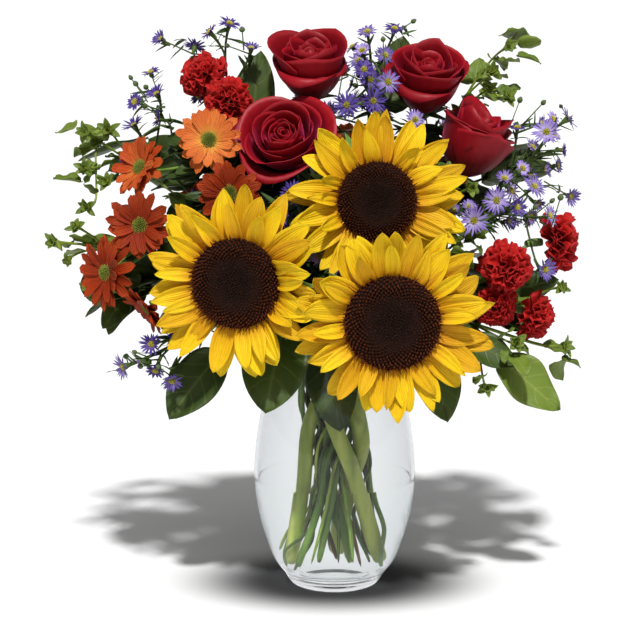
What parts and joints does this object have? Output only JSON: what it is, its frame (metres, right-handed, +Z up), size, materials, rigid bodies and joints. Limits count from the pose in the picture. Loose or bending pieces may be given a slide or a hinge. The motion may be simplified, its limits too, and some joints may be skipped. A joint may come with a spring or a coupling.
{
  "type": "sunflowers in a vase",
  "caption": "Clear glass vase of water holding sunflowers with roses, spray carnations, daisies, asters and dark leaves, cut ends under water",
  "frame": {"origin": "centre of the vase's flat foot, where it rests", "axes": "+Z up, the front of the bouquet faces -Y, +X to the right seen from the front"},
  "size_m": [0.3916, 0.2344, 0.4228],
  "materials": {
    "clear_glass": "clear, polished, 3 mm wall",
    "water": "clear still water",
    "sunflower_disc": "rough dark florets",
    "sunflower_petals": "satin petals",
    "sunflower_stem": "hairy green stem",
    "rose_petals": "velvety petals",
    "rose_stem": "smooth green stem",
    "carnation_petals": "ruffled petals",
    "carnation_stem": "waxy green stem",
    "daisy_orange_petals": "satin petals",
    "daisy_rust_petals": "satin petals",
    "daisy_stem": "downy green stem",
    "aster": "small violet florets on thin green stems",
    "bupleurum": "soft yellow-green leaves",
    "salal": "leathery dark leaves"
  },
  "bodies": {
    "root": {"aster_back": "aster", "aster_centre": "aster", "aster_left": "aster", "aster_low_left": "aster", "aster_right": "aster", "aster_right_low": "aster", "aster_top": "aster", "aster_top_left": "aster", "bupleurum_left": "bupleurum", "bupleurum_low_left": "bupleurum", "bupleurum_middle": "bupleurum", "bupleurum_right": "bupleurum", "bupleurum_top_right": "bupleurum", "carnation_back_bloom_a": "carnation_petals", "carnation_back_bloom_b": "carnation_petals", "carnation_back_stems": "carnation_stem", "carnation_right_bloom_a": "carnation_petals", "carnation_right_bloom_b": "carnation_petals", "carnation_right_bloom_c": "carnation_petals", "carnation_right_bloom_d": "carnation_petals", "carnation_right_stems": "carnation_stem", "carnation_top_left_bloom_a": "carnation_petals", "carnation_top_left_bloom_b": "carnation_petals", "carnation_top_left_stems": "carnation_stem", "daisy_back_bloom_a": "daisy_rust_petals", "daisy_back_bloom_b": "daisy_rust_petals", "daisy_back_stems": "daisy_stem", "daisy_orange_bloom_a": "daisy_orange_petals", "daisy_orange_bloom_b": "daisy_orange_petals", "daisy_orange_stems": "daisy_stem", "daisy_rust_bloom_a": "daisy_rust_petals", "daisy_rust_bloom_b": "daisy_rust_petals", "daisy_rust_bloom_c": "daisy_rust_petals", "daisy_rust_bloom_d": "daisy_rust_petals", "daisy_rust_stems": "daisy_stem", "glass_vase": "clear_glass", "rose_left_bloom": "rose_petals", "rose_left_stem": "rose_stem", "rose_right_lower_bloom": "rose_petals", "rose_right_lower_stem": "rose_stem", "rose_right_upper_bloom": "rose_petals", "rose_right_upper_stem": "rose_stem", "rose_top_bloom": "rose_petals", "rose_top_stem": "rose_stem", "salal_back": "salal", "salal_front_left": "salal", "salal_front_right": "salal", "salal_neck": "salal", "salal_right": "salal", "salal_top": "salal", "sunflower_left_disc": "sunflower_disc", "sunflower_left_petals": "sunflower_petals", "sunflower_left_stem": "sunflower_stem", "sunflower_right_disc": "sunflower_disc", "sunflower_right_petals": "sunflower_petals", "sunflower_right_stem": "sunflower_stem", "sunflower_top_disc": "sunflower_disc", "sunflower_top_petals": "sunflower_petals", "sunflower_top_stem": "sunflower_stem", "water": "water"}
  },
  "joints": []
}
